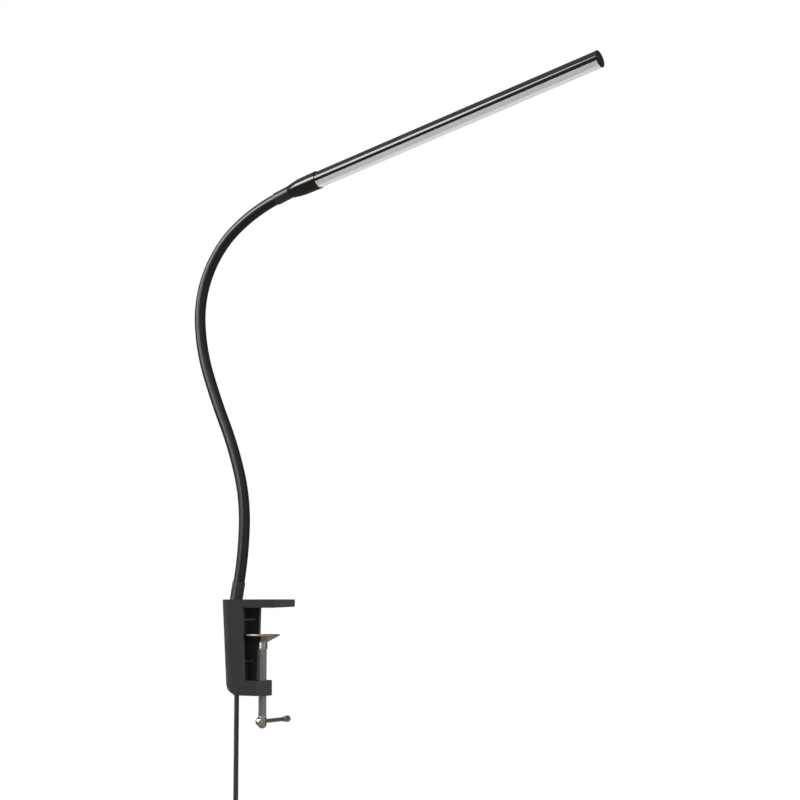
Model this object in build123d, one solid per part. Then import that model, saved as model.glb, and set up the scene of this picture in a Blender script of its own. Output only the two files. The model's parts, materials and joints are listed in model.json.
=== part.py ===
"""Clamp lamp with a gooseneck and a slim light tube, one solid per piece, in millimetres.

Frame: +X along the clamp's jaws from the spine to the tip, +Z up, Y = 0 the plane of symmetry.
Origin: on the clamp spindle's axis, in the plane of the pad that rests on the desk top.
"""
import os
from math import atan, cos, degrees, pi, radians, sin, sqrt, tan

from build123d import *

# How far cutting shapes reach past what they cut, and how far joined shapes overlap
CUT = 60.0
MARGIN = 1.0

# Clamp frame
TOP_Z = 8.4
SEAT_Z = 0.3
FLOOR_Z = -71.8
BOTTOM_Z = -86.7
TOP_HALF_WIDTH = 17.0
BOTTOM_HALF_WIDTH = 13.5
TOP_BACK_CENTRE_X = -29.55
BOTTOM_BACK_CENTRE_X = -27.65
SPINE_FRONT_X = -14.4
UPPER_JAW_X = 26.5
UPPER_JAW_BULGE = 6.8
LOWER_JAW_TOP_X = 1.1
LOWER_JAW_BOTTOM_X = 1.55
LOWER_JAW_BULGE = 5.6
JAW_CORNER_ROUND = 1.5
WALL_AT_TOP = 3.0
WALL_AT_FLOOR = 4.9
HEEL_RADIUS = 24.0
EDGE_ROUND = 1.0
LEAD_IN_X = 8.0
LEAD_IN_RISE = 1.1
RIB_HEIGHTS = (-11.7, -53.0)
RIB_THICKNESS = 1.6
RIB_FRONT_X = -18.95
RIB_DEPTH = 8.0
CORE_POCKET = (15.0, 17.0, 11.0)
CORE_POCKET_X = -17.9

# Jaw pad
PAD_X = (-11.0, 8.0)
PAD_WIDTH = 25.0
PAD_THICKNESS = 1.5
PAD_CORNER = 3.0
PAD_GAP = 0.05

# Clamp spindle, its insert, pressure cup and tommy bar
SPINDLE_RADIUS = 3.95
THREAD_BOTTOM_Z = -107.5
SPINDLE_END_Z = -119.1
SPINDLE_END_RADIUS = 4.3
SPINDLE_END_ROUND = 4.2
SPIGOT_RADIUS = 2.2
SPIGOT_HEAD_RADIUS = 3.0
SPIGOT_HEAD_HEIGHT = 1.0
RUNNING_GAP = 0.05
AXIAL_GAP = 0.1
INSERT_RADIUS = 5.0
INSERT_LENGTH = 12.0
JAW_HOLE_RADIUS = 4.5
CUP_RADIUS = 17.0
CUP_RIM_Z = -26.2
CUP_FLOOR_Z = -33.9
CUP_HUB_RADIUS = 5.0
CUP_HUB_INNER = 4.5
CUP_SHEET = 1.3
BUSH_RADIUS = 4.65
BUSH_NECK_RADIUS = 3.2
BUSH_BOTTOM_Z = -40.4
BAR_Z = -112.05
BAR_HEADING_DEG = 95.5
BAR_RADIUS = 2.0
BAR_HOLE_RADIUS = 2.08
DOME_RADIUS = 4.45
DOME_FOOT = -4.5
DOME_RIM = -5.6
DOME_TOP = -8.6
BALL_KNOB_RADIUS = 3.4
BALL_KNOB_PLACE = 49.9
KNOB_COLLAR_RADIUS = 2.9
KNOB_COLLAR_START = 43.5
KNOB_SEAT = 1.5

# Supply cord inside the spine and its strain relief
CORD_X = -31.95
CORD_RADIUS = 2.45
CORD_HOLE_RADIUS = 2.5
RELIEF_BARREL_RADIUS = 4.0
RELIEF_FLANGE_RADIUS = 4.7
RELIEF_FLANGE = 2.0
RELIEF_TOP_Z = -56.0
RELIEF_TOP_RADIUS = 3.1
INNER_BEND_Z = -40.0
INNER_BEND_REACH = 27.0
BEND_SHARE = 0.45

# Gooseneck: a lower ferrule, then equal arcs, then an upper ferrule
BASE_X = -33.7
BASE_TILT_DEG = 10.77
FERRULE_RADIUS = 6.45
FERRULE_BORE = 5.7
FERRULE_LENGTH = 18.0
FERRULE_FLOOR = 4.0
STUD_RADIUS = 4.9
STUD_BORE = 2.75
STUD_HOLE = 5.0
STUD_REACH = 17.0
BOSS_RADIUS = 9.0
BOSS_REACH = 11.0
SPOT_FACE_RADIUS = 7.9
WASHER_RADIUS = 7.4
WASHER_THICKNESS = 1.0
NUT_ACROSS_FLATS = 13.0
NUT_THICKNESS = 3.0
ARC_LENGTH = 55.7
ARC_TURNS_DEG = (-9.2, -17.8, -8.8, 4.7, 16.9, 30.1, 28.2, 17.3)
SLEEVE_RADII = (5.65, 4.1)
HOSE_RADII = (4.0, 2.6)
FLEX_RADII = (2.45, 0.0)
BALL_RADIUS = 5.65
SOCKET_RADIUS = 5.95
SLEEVE_TAIL = 13.0
TOP_FERRULE_LENGTH = 18.0
HEAD_TURN_DEG = 4.4

# Head, measured along the tube's axis from the upper ferrule's end
TOP_STUD_END = 12.0
NECK_END = 32.9
NECK_SMALL_RADIUS = 6.45
NECK_CURVE = ((7.4, 4.5), (8.42, 11.3), (8.95, 20.0))
NECK_LARGE_RADIUS = 9.15
NECK_WALL = 1.4
NECK_THREAD_END = 14.0
NECK_BORE_START = 28.9
SPIGOT_REACH = 7.0
SPIGOT_RADII = (6.0, 4.9)
COLLAR_END = 35.6
COLLAR_RADIUS = 9.2
TUBE_RADIUS = 8.25
TUBE_WALL = 1.2
TUBE_END = 357.9
CAP_RADIUS = 8.4
CAP_THICKNESS = 0.8
CAP_ROUND = 0.3
CAP_TAB = 7.0
CAP_FINGERS = (((-4.0, 4.0), (2.4, 5.4)), ((-4.4, 4.4), (-5.2, -1.4)))
DIFFUSER_HALF_ANGLE = 66.7
DIFFUSER_INNER_RADIUS = 6.95
LEG_INNER_RADIUS = 6.1
LEG_OUTER_RADIUS = 7.0
LEG_ANGLES = (58.0, 82.0)
SEAM_GAP_DEG = 0.2
SHELF = (1.0, 2.2)
SHELF_GAP = 0.1
BOARD_WIDTH = 10.0
BOARD_THICKNESS = 1.2
BOARD_SPAN = (44.0, 347.0)
CHIP_SIZE = (3.5, 0.7, 2.8)
CHIP_COUNT = 26
CHIP_PITCH = 11.5
CHIP_START = 52.0
DRIVER_SPAN = (44.0, 108.0)
DRIVER_WIDTH = 10.0
DRIVER_BOARD = 1.0
DRIVER_BLOCKS = ((5.2, 2.6, (56.0, 64.0)), (4.0, 1.2, (83.0, 88.0)), (4.8, 1.8, (92.0, 97.0)))
CAPACITOR_RADIUS = 1.4
CAPACITOR_SPAN = (68.0, 79.0)
WIRE_RADIUS = 0.7
WIRE_SPREAD = 1.6
WIRE_RISE = 4.0
WIRE_KNEE = 29.3
WIRE_END = 50.0
WIRE_BEND = 8.0

# Cord outside the clamp: switch, hank and plug
SWITCH_TOP_Z = -206.0
SWITCH_SIZE = (22.0, 16.0, 56.0)
SWITCH_CORNER = 9.0
SWITCH_WALL = 2.0
SWITCH_EDGE = 2.5
CORD_IN_SWITCH = 6.0
WINDOW = (9.6, 16.4)
ROCKER_WIDTH = 9.0
ROCKER_PIVOT_Y = -4.6
ROCKER_PIN = 1.2
ROCKER_PIN_LENGTH = 13.6
ROCKER_TIP_DEG = 8.0
ROCKER_PROFILE = ((-8.4, 0.0), (-9.9, 7.2), (-7.4, 7.2), (-3.2, 2.2),
                  (-3.2, -2.2), (-7.4, -7.2), (-9.9, -7.2))
EAR = (2.0, 3.8, 5.2)
EAR_X = 6.0
SWITCH_SCREW_PLACES = ((6.0, 19.0), (-6.0, -19.0))
SCREW_RADIUS = 1.2
SCREW_TIP_Y = -3.0
SCREW_HEAD = (2.2, 1.4)
SCREW_BOSS = 2.6
HANK_Z = -352.0
HANK_END_Z = 30.0
HANK_END_RADIUS = 17.5
HANK_WAIST = 12.5
HANK_TURNS = 7
HANK_PITCH = 5.2
HANK_SKIN = 2.6
TIE_HEIGHT = 7.0
TIE_CORNERS = ((15.5, -21.2), (15.5, 21.2), (0.5, 31.2), (-9.8, 31.2), (-15.5, 21.2), (-15.5, -21.2))
TIE_THICKNESS = 1.0
PLUG_Y = 28.5
PLUG_TOP_Z = HANK_Z - 24.0
RELIEF_LENGTH = 22.0
PLUG_BODY = (35.0, 13.7, 34.0)
PLUG_SHOULDER = (16.0, 11.0)
PLUG_SHOULDER_CORNER = 4.0
PLUG_CORNER = 5.0
RELIEF_RADII = (3.3, 4.6)
PIN_RADIUS = 2.0
PIN_LENGTH = 19.0
PIN_SEAT = 8.0
PIN_TIP_ROUND = 1.2
PIN_SPACING = 18.6

# The cord's route from the switch into the hank, and from the hank to the plug
LOWER_LEAD = (
    (CORD_X, 0.0, -262.0),
    (CORD_X, -1.5, -277.0),
    (CORD_X - 4.0, -9.0, -291.0),
    (CORD_X - 11.0, -15.5, -306.0),
)
TAIL_LEAD = (
    (CORD_X - 17.5, 18.7, -322.0),
    (CORD_X - 13.5, 23.5, -336.0),
    (CORD_X - 6.5, 27.5, -349.0),
    (CORD_X, PLUG_Y, -362.0),
    (CORD_X, PLUG_Y, PLUG_TOP_Z),
)


def axis_plane(point, heading_deg):
    """Plane across the gooseneck or tube: local x is world Y, local z the way along it."""
    angle = radians(heading_deg)
    return Plane(origin=(point[0], 0, point[1]), x_dir=(0, 1, 0), z_dir=(sin(angle), 0, cos(angle)))


def neck_stations():
    """Point and heading, from +Z towards +X, at the start of each arc and at the last one's end."""
    angle = radians(BASE_TILT_DEG)
    x = BASE_X + FERRULE_LENGTH * sin(angle)
    z = TOP_Z + FERRULE_LENGTH * cos(angle)
    stations = [((x, z), degrees(angle))]
    for turn_deg in ARC_TURNS_DEG:
        turn = radians(turn_deg)
        chord = ARC_LENGTH * sin(turn / 2) / (turn / 2)
        x += chord * sin(angle + turn / 2)
        z += chord * cos(angle + turn / 2)
        angle += turn
        stations.append(((x, z), degrees(angle)))
    return stations


def head_station():
    """Point and heading where the upper ferrule ends and the head's own axis begins."""
    (x, z), heading = STATIONS[-1]
    angle = radians(heading)
    end = (x + TOP_FERRULE_LENGTH * sin(angle), z + TOP_FERRULE_LENGTH * cos(angle))
    return end, heading + HEAD_TURN_DEG


STATIONS = neck_stations()
BASE = axis_plane((BASE_X, TOP_Z), BASE_TILT_DEG)
CROWN = axis_plane(*STATIONS[-1])
HEAD = axis_plane(*head_station())


def face_of(*edges):
    return make_face(Curve() + list(edges))


def turned(*points):
    """Solid of revolution about Z from a closed outline of (radius, height) points."""
    return revolve(Plane.XZ * make_face(Polyline(*points, close=True)), Axis.Z)


def ring(outer, inner, low, high):
    """Tube about Z, or a rod where the inner radius is 0."""
    return turned((inner, low), (outer, low), (outer, high), (inner, high))


def block(x, y, z):
    """Box from three (low, high) pairs."""
    size = [high - low for low, high in (x, y, z)]
    middle = [(high + low) / 2 for low, high in (x, y, z)]
    return Pos(*middle) * Box(*size)


def at_height(z, at_top, at_bottom):
    """A spine dimension at height z, changing evenly from the top to the bottom."""
    share = (TOP_Z - z) / (TOP_Z - BOTTOM_Z)
    return at_top + (at_bottom - at_top) * share


def half_width_at(z):
    return at_height(z, TOP_HALF_WIDTH, BOTTOM_HALF_WIDTH)


def half_round(z, wall, front_x):
    """Plan of the spine at height z, less its wall: a half round back and straight sides."""
    radius = half_width_at(z) - wall
    centre = at_height(z, TOP_BACK_CENTRE_X, BOTTOM_BACK_CENTRE_X)
    outline = face_of(
        Line((front_x, -radius), (centre, -radius)),
        ThreePointArc((centre, -radius), (centre - radius, 0), (centre, radius)),
        Line((centre, radius), (front_x, radius)),
        Line((front_x, radius), (front_x, -radius)),
    )
    return Pos(0, 0, z) * outline


def tongue(back_x, front_x, bulge, half_width, z):
    """Plan of a jaw: straight sides and a convex front with rounded corners."""
    outline = face_of(
        Line((back_x, half_width), (back_x, -half_width)),
        Line((back_x, -half_width), (front_x, -half_width)),
        ThreePointArc((front_x, -half_width), (front_x + bulge, 0), (front_x, half_width)),
        Line((front_x, half_width), (back_x, half_width)),
    )
    outline = fillet(outline.vertices().group_by(Axis.X)[-1], JAW_CORNER_ROUND)
    return Pos(0, 0, z) * outline


def upper_jaw():
    """Upper jaw, its seat rising towards the tip."""
    back_x = SPINE_FRONT_X - MARGIN
    plans = [tongue(back_x, UPPER_JAW_X, UPPER_JAW_BULGE, half_width_at(z), z) for z in (SEAT_Z, TOP_Z)]
    tip_x = UPPER_JAW_X + UPPER_JAW_BULGE + MARGIN
    wedge = Polyline((LEAD_IN_X, SEAT_Z), (tip_x, SEAT_Z), (tip_x, SEAT_Z + LEAD_IN_RISE), close=True)
    return loft(plans, ruled=True) - extrude(Plane.XZ * make_face(wedge), CUT, both=True)


def lower_jaw():
    back_x = SPINE_FRONT_X - MARGIN
    fronts = ((FLOOR_Z, LOWER_JAW_TOP_X), (BOTTOM_Z, LOWER_JAW_BOTTOM_X))
    plans = [tongue(back_x, front_x, LOWER_JAW_BULGE, half_width_at(z), z) for z, front_x in fronts]
    return loft(plans, ruled=True)


def spine_block():
    """Tapered half-round spine before it is hollowed."""
    return loft([half_round(z, 0, SPINE_FRONT_X) for z in (TOP_Z, BOTTOM_Z)], ruled=True)


def spine_hollow():
    """Room inside the spine, open to the front between roof and floor."""
    walls = ((SEAT_Z, WALL_AT_TOP), (FLOOR_Z, WALL_AT_FLOOR))
    return loft([half_round(z, wall, SPINE_FRONT_X + MARGIN) for z, wall in walls], ruled=True)


def ribs():
    """Two level ribs across the spine and an upright web from the lower one to the floor."""
    back_x = RIB_FRONT_X - RIB_DEPTH
    half = RIB_THICKNESS / 2
    shapes = []
    for z in RIB_HEIGHTS:
        reach = half_width_at(z) - WALL_AT_TOP / 2
        shapes.append(block((back_x, RIB_FRONT_X), (-reach, reach), (z - half, z + half)))
    shapes.append(block((back_x, RIB_FRONT_X), (-half, half), (FLOOR_Z - MARGIN, RIB_HEIGHTS[1])))
    return shapes


def heel():
    """What the round heel at the spine's foot takes away, tangent to the sloping back and the bottom."""
    foot_x = BOTTOM_BACK_CENTRE_X - BOTTOM_HALF_WIDTH
    roof_x = TOP_BACK_CENTRE_X - TOP_HALF_WIDTH
    slant = atan((foot_x - roof_x) / (TOP_Z - BOTTOM_Z))
    middle_x = foot_x + HEEL_RADIUS * (1 / cos(slant) - tan(slant))
    middle_z = BOTTOM_Z + HEEL_RADIUS
    start_z = middle_z - HEEL_RADIUS * sin(slant)
    corner = block((roof_x, middle_x), (-CUT, CUT), (BOTTOM_Z - MARGIN, start_z))
    roll = Pos(middle_x, 0, middle_z) * Rot(90, 0, 0) * Cylinder(HEEL_RADIUS, 2 * CUT)
    return corner - roll


def pad_outline(gap):
    length = PAD_X[1] - PAD_X[0] - 2 * gap
    return Pos((PAD_X[0] + PAD_X[1]) / 2, 0, 0) * RectangleRounded(length, PAD_WIDTH - 2 * gap, PAD_CORNER)


def clamp_frame():
    frame = spine_block() + upper_jaw()
    frame = fillet(frame.edges().group_by(Axis.Z)[-1], EDGE_ROUND)
    frame = frame - spine_hollow() + lower_jaw()
    for rib in ribs():
        frame += rib
    frame += BASE * ring(BOSS_RADIUS, 0, -BOSS_REACH, -FERRULE_FLOOR)
    frame -= heel()
    frame -= BASE * ring(STUD_HOLE, 0, -STUD_REACH - MARGIN, BOSS_REACH)
    nut_room = WASHER_THICKNESS + NUT_THICKNESS + MARGIN
    frame -= BASE * ring(SPOT_FACE_RADIUS, 0, -BOSS_REACH - nut_room, -BOSS_REACH)
    frame -= extrude(Pos(0, 0, -MARGIN) * pad_outline(0), PAD_THICKNESS + MARGIN)
    frame -= ring(INSERT_RADIUS, 0, FLOOR_Z - INSERT_LENGTH, FLOOR_Z + MARGIN)
    frame -= ring(JAW_HOLE_RADIUS, 0, BOTTOM_Z - MARGIN, FLOOR_Z)
    frame -= Pos(CORD_X, 0, 0) * ring(RELIEF_BARREL_RADIUS, 0, BOTTOM_Z - MARGIN, FLOOR_Z + MARGIN)
    length, width, height = CORE_POCKET
    frame -= Pos(CORE_POCKET_X, 0, BOTTOM_Z + height / 2) * Box(length, width, height)
    return frame


def jaw_pad():
    return extrude(pad_outline(PAD_GAP), PAD_THICKNESS)


def spindle_insert():
    return ring(INSERT_RADIUS, SPINDLE_RADIUS + RUNNING_GAP, FLOOR_Z - INSERT_LENGTH, FLOOR_Z)


def bar_plane():
    angle = radians(BAR_HEADING_DEG)
    return Plane(origin=(0, 0, BAR_Z), x_dir=(0, 0, 1), z_dir=(cos(angle), sin(angle), 0))


def clamp_spindle():
    """Threaded rod with a riveted spigot on top and a rounded, cross-drilled end."""
    shoulder = BUSH_BOTTOM_Z - AXIAL_GAP
    head = CUP_FLOOR_Z + CUP_SHEET + AXIAL_GAP
    top = head + SPIGOT_HEAD_HEIGHT
    rod = turned(
        (0, SPINDLE_END_Z), (SPINDLE_END_RADIUS, SPINDLE_END_Z), (SPINDLE_END_RADIUS, THREAD_BOTTOM_Z),
        (SPINDLE_RADIUS, THREAD_BOTTOM_Z), (SPINDLE_RADIUS, shoulder), (SPIGOT_RADIUS, shoulder),
        (SPIGOT_RADIUS, head), (SPIGOT_HEAD_RADIUS, head), (SPIGOT_HEAD_RADIUS, (head + top) / 2),
        (SPIGOT_RADIUS, top), (0, top),
    )
    rod = fillet(rod.edges().group_by(Axis.Z)[0], SPINDLE_END_ROUND)
    return rod - bar_plane() * ring(BAR_HOLE_RADIUS, 0, -CUT, CUT)


def pressure_cup():
    """Shallow pressed dish, its hub pierced for the bush."""
    inner_rim = CUP_RADIUS - CUP_SHEET
    return turned(
        (BUSH_NECK_RADIUS, CUP_FLOOR_Z), (CUP_HUB_RADIUS, CUP_FLOOR_Z), (CUP_RADIUS, CUP_RIM_Z - CUP_SHEET),
        (CUP_RADIUS, CUP_RIM_Z), (inner_rim, CUP_RIM_Z),
        (CUP_HUB_INNER, CUP_FLOOR_Z + CUP_SHEET), (BUSH_NECK_RADIUS, CUP_FLOOR_Z + CUP_SHEET),
    )


def cup_bush():
    bore = SPIGOT_RADIUS + RUNNING_GAP
    top = CUP_FLOOR_Z + CUP_SHEET
    return turned(
        (bore, BUSH_BOTTOM_Z), (BUSH_RADIUS, BUSH_BOTTOM_Z), (BUSH_RADIUS, CUP_FLOOR_Z),
        (BUSH_NECK_RADIUS, CUP_FLOOR_Z), (BUSH_NECK_RADIUS, top), (bore, top),
    )


def bar_rod():
    return ring(BAR_RADIUS, 0, DOME_TOP + KNOB_SEAT, BALL_KNOB_PLACE + KNOB_SEAT)


def tommy_bar():
    return bar_plane() * bar_rod()


def dome_knob():
    """Domed head on the bar's near end."""
    height = DOME_RIM - DOME_TOP
    curve = (DOME_RADIUS**2 + height**2) / (2 * height)
    shoulder = sqrt(curve**2 - (DOME_RADIUS / 2) ** 2) - (curve - height)
    outline = face_of(
        Line((0, DOME_FOOT), (DOME_RADIUS, DOME_FOOT)),
        Line((DOME_RADIUS, DOME_FOOT), (DOME_RADIUS, DOME_RIM)),
        ThreePointArc((DOME_RADIUS, DOME_RIM), (DOME_RADIUS / 2, DOME_RIM - shoulder), (0, DOME_TOP)),
        Line((0, DOME_TOP), (0, DOME_FOOT)),
    )
    return revolve(Plane.XZ * outline, Axis.Z)


def tommy_knobs():
    ball = Pos(0, 0, BALL_KNOB_PLACE) * Sphere(BALL_KNOB_RADIUS)
    ball += ring(KNOB_COLLAR_RADIUS, 0, KNOB_COLLAR_START, BALL_KNOB_PLACE)
    return [bar_plane() * (knob - bar_rod()) for knob in (dome_knob(), ball)]


def base_ferrule():
    """Crimped cup round the gooseneck's foot, cut level with the clamp's top, on a hollow stud."""
    cup = ring(FERRULE_RADIUS, 0, -FERRULE_FLOOR, FERRULE_LENGTH)
    cup = fillet(cup.edges().group_by(Axis.Z)[-1], EDGE_ROUND / 2)
    cup -= ring(FERRULE_BORE, 0, FERRULE_FLOOR, FERRULE_LENGTH + MARGIN)
    cup = BASE * cup - block((BASE_X - CUT, BASE_X + CUT), (-CUT, CUT), (TOP_Z - CUT, TOP_Z))
    stud = BASE * ring(STUD_RADIUS, 0, -STUD_REACH, FERRULE_FLOOR / 2)
    return cup + stud - BASE * ring(STUD_BORE, 0, -2 * STUD_REACH, FERRULE_FLOOR + MARGIN)


def base_washer():
    return BASE * ring(WASHER_RADIUS, STUD_HOLE, -BOSS_REACH - WASHER_THICKNESS, -BOSS_REACH)


def base_nut():
    top = -BOSS_REACH - WASHER_THICKNESS
    nut = extrude(RegularPolygon(NUT_ACROSS_FLATS / 2, 6, major_radius=False), NUT_THICKNESS)
    nut = Pos(0, 0, top - NUT_THICKNESS) * nut
    return BASE * (nut - ring(STUD_RADIUS, 0, top - CUT, top + MARGIN))


def strain_relief():
    """Bush in the floor's hole with a flange inside and a tapered sleeve up the cord."""
    barrel = turned(
        (CORD_HOLE_RADIUS, BOTTOM_Z), (RELIEF_BARREL_RADIUS, BOTTOM_Z), (RELIEF_BARREL_RADIUS, FLOOR_Z),
        (RELIEF_FLANGE_RADIUS, FLOOR_Z), (RELIEF_FLANGE_RADIUS, FLOOR_Z + RELIEF_FLANGE),
        (RELIEF_BARREL_RADIUS, FLOOR_Z + RELIEF_FLANGE), (RELIEF_TOP_RADIUS, RELIEF_TOP_Z),
        (CORD_HOLE_RADIUS, RELIEF_TOP_Z),
    )
    return Pos(CORD_X, 0, 0) * barrel


def cord_tube(points):
    """Round cord along straight runs joined by the largest tangent arcs that its runs allow."""
    route = [Vector(*p) for p in points]
    runs = [b - a for a, b in zip(route, route[1:])]
    radii = []
    for before, after in zip(runs, runs[1:]):
        half_turn = radians(before.get_angle(after)) / 2
        radii.append(BEND_SHARE * min(before.length, after.length) / tan(half_turn))
    print("cord radii", [round(r, 1) for r in radii])
    path = FilletPolyline(*route, radius=radii)
    section = Plane(origin=route[0], z_dir=runs[0]) * Circle(CORD_RADIUS)
    tube = sweep(section, path=path)
    print("tube volume over section times length", tube.volume / (pi * CORD_RADIUS**2 * path.length))
    return tube


def cord_inner():
    """The cord inside the spine, from the clamp's foot into the gooseneck's ferrule."""
    low = BASE.from_local_coords((0, 0, -INNER_BEND_REACH))
    high = BASE.from_local_coords((0, 0, FERRULE_FLOOR))
    return cord_tube([(CORD_X, 0, BOTTOM_Z), (CORD_X, 0, INNER_BEND_Z), tuple(low), tuple(high)])


def neck_end(outer, inner):
    """Rounded end of one layer of a gooseneck link, a zone of the ball about its pivot."""
    rise_out = sqrt(max(BALL_RADIUS**2 - outer**2, 0))
    rise_in = sqrt(BALL_RADIUS**2 - inner**2)
    middle = (outer + inner) / 2
    edges = [
        ThreePointArc((outer, rise_out), (middle, sqrt(BALL_RADIUS**2 - middle**2)), (inner, rise_in)),
        Line((inner, rise_in), (inner, 0)),
        Line((inner, 0), (outer, 0)),
    ]
    if rise_out:
        edges.append(Line((outer, 0), (outer, rise_out)))
    return revolve(Plane.XZ * face_of(*edges), Axis.Z)


def neck_arc(index, outer, inner):
    """One layer of a gooseneck link, swept round its arc's centre."""
    point, heading = STATIONS[index]
    turn = ARC_TURNS_DEG[index]
    radius = ARC_LENGTH / radians(turn)
    angle = radians(heading)
    centre = (point[0] + radius * cos(angle), 0, point[1] - radius * sin(angle))
    profile = Circle(outer) - Circle(inner) if inner else Circle(outer)
    axis = Axis(centre, (0, 1 if turn > 0 else -1, 0))
    return revolve(axis_plane(point, heading) * profile, axis, abs(turn))


def neck_layer(index, outer, inner):
    """Link of the gooseneck: a socket at its foot, an arc, a ball zone at its top."""
    link = neck_arc(index, outer, inner)
    foot = axis_plane(*STATIONS[index])
    top = axis_plane(*STATIONS[index + 1])
    if index:
        link -= foot * Sphere(SOCKET_RADIUS)
    else:
        link += foot * ring(outer, inner, FERRULE_FLOOR - FERRULE_LENGTH, 0)
    if index < len(ARC_TURNS_DEG) - 1:
        link += top * neck_end(outer, inner)
    else:
        link += top * ring(outer, inner, 0, SLEEVE_TAIL)
    return link


def top_ferrule():
    """Crimped cup round the gooseneck's head, its end cut square to the neck, with a hollow stud."""
    cup = ring(FERRULE_RADIUS, 0, 0, TOP_FERRULE_LENGTH + MARGIN)
    cup = fillet(cup.edges().group_by(Axis.Z)[0], EDGE_ROUND / 2)
    cup -= ring(FERRULE_BORE, 0, -MARGIN, SLEEVE_TAIL)
    cup -= ring(STUD_BORE, 0, 0, TOP_FERRULE_LENGTH + 2 * MARGIN)
    cup = CROWN * cup - HEAD * ring(CUT, 0, 0, CUT)
    stud = HEAD * ring(STUD_RADIUS, STUD_BORE, -MARGIN, TOP_STUD_END)
    return cup + stud


def neck_cone():
    """Neck between gooseneck and tube: a bullet shell, threaded at its foot, with a slotted spigot."""
    mouth = NECK_LARGE_RADIUS - NECK_WALL
    outer, inner = SPIGOT_RADII
    flank = Spline((NECK_SMALL_RADIUS, 0), *NECK_CURVE, (NECK_LARGE_RADIUS, NECK_END))
    inside = Polyline(
        (NECK_LARGE_RADIUS, NECK_END), (outer, NECK_END), (outer, NECK_END + SPIGOT_REACH),
        (inner, NECK_END + SPIGOT_REACH), (inner, NECK_BORE_START), (STUD_RADIUS, NECK_THREAD_END),
        (STUD_RADIUS, 0), (NECK_SMALL_RADIUS, 0),
    )
    shell = revolve(Plane.XZ * face_of(flank, inside), Axis.Z)
    low, high = SHELF
    slot = block((-mouth, mouth), (low - SHELF_GAP, high + SHELF_GAP), (NECK_END, TUBE_END))
    return HEAD * (shell - slot)


def collar_ring():
    return HEAD * ring(COLLAR_RADIUS, TUBE_RADIUS, NECK_END, COLLAR_END)


def arc_band(outer, inner, start, end):
    """Band of a circle between two angles in degrees."""
    def spot(radius, angle):
        return (radius * cos(radians(angle)), radius * sin(radians(angle)))

    middle = (start + end) / 2
    return face_of(
        ThreePointArc(spot(outer, start), spot(outer, middle), spot(outer, end)),
        Line(spot(outer, end), spot(inner, end)),
        ThreePointArc(spot(inner, end), spot(inner, middle), spot(inner, start)),
        Line(spot(inner, start), spot(outer, start)),
    )


def along_tube(section, start, end):
    return HEAD * (Pos(0, 0, start) * extrude(section, end - start))


def light_tube():
    """Upper profile of the tube with the shelf that carries both boards."""
    edge = DIFFUSER_HALF_ANGLE - 90 + SEAM_GAP_DEG
    inner = TUBE_RADIUS - TUBE_WALL
    low, high = SHELF
    strip = Pos(0, (low + high) / 2) * Rectangle(2 * TUBE_RADIUS, high - low)
    shelf = strip & Circle(inner + TUBE_WALL / 2)
    return along_tube(arc_band(TUBE_RADIUS, inner, edge, 180 - edge) + shelf, NECK_END, TUBE_END)


def diffuser():
    """Opal lower band of the tube, with a snap leg inside each long edge."""
    half = DIFFUSER_HALF_ANGLE
    section = arc_band(TUBE_RADIUS, DIFFUSER_INNER_RADIUS, -90 - half, -90 + half)
    start, end = LEG_ANGLES
    section += arc_band(LEG_OUTER_RADIUS, LEG_INNER_RADIUS, -90 + start, -90 + end)
    section += arc_band(LEG_OUTER_RADIUS, LEG_INNER_RADIUS, -90 - end, -90 - start)
    return along_tube(section, NECK_END, TUBE_END)


def end_cap():
    """Disc over the tube's end with a finger above and below the shelf."""
    disc = ring(CAP_RADIUS, 0, TUBE_END, TUBE_END + CAP_THICKNESS)
    disc = fillet(disc.edges().group_by(Axis.Z)[-1], CAP_ROUND)
    for across_span, up_span in CAP_FINGERS:
        disc += block(across_span, up_span, (TUBE_END - CAP_TAB, TUBE_END))
    return HEAD * disc


def led_board():
    low = SHELF[0]
    return HEAD * block((-BOARD_WIDTH / 2, BOARD_WIDTH / 2), (low - BOARD_THICKNESS, low), BOARD_SPAN)


def led_chips():
    face = SHELF[0] - BOARD_THICKNESS
    places = [CHIP_START + i * CHIP_PITCH for i in range(CHIP_COUNT)]
    return [HEAD * (Pos(0, face - CHIP_SIZE[1] / 2, place) * Box(*CHIP_SIZE)) for place in places]


def driver_board():
    low = SHELF[1]
    return HEAD * block((-DRIVER_WIDTH / 2, DRIVER_WIDTH / 2), (low, low + DRIVER_BOARD), DRIVER_SPAN)


def driver_parts():
    """Choke, chip and bridge as blocks and a lying capacitor on the driver board."""
    face = SHELF[1] + DRIVER_BOARD
    parts = [Pos(0, face + CAPACITOR_RADIUS, 0) * ring(CAPACITOR_RADIUS, 0, *CAPACITOR_SPAN)]
    for width, height, span in DRIVER_BLOCKS:
        parts.append(block((-width / 2, width / 2), (face, face + height), span))
    return [HEAD * part for part in parts]


def lead_wires():
    """Two wires from the flex's end in the neck up to the driver board."""
    wires = []
    for side in (-WIRE_SPREAD / 2, WIRE_SPREAD / 2):
        start = (side, 0, TOP_STUD_END + WIRE_RADIUS)
        knee = (side, WIRE_RISE, WIRE_KNEE)
        path = FilletPolyline(start, knee, (side, WIRE_RISE, WIRE_END), radius=WIRE_BEND)
        section = Plane(origin=start, z_dir=path % 0) * Circle(WIRE_RADIUS)
        wires.append(HEAD * sweep(section, path=path))
    return wires


def flex_end(link):
    """The last link's flex also runs through the upper ferrule and its stud."""
    radius = FLEX_RADII[0]
    link += CROWN * ring(radius, 0, SLEEVE_TAIL, TOP_FERRULE_LENGTH)
    link += HEAD * Sphere(radius)
    return link + HEAD * ring(radius, 0, 0, TOP_STUD_END)


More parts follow.
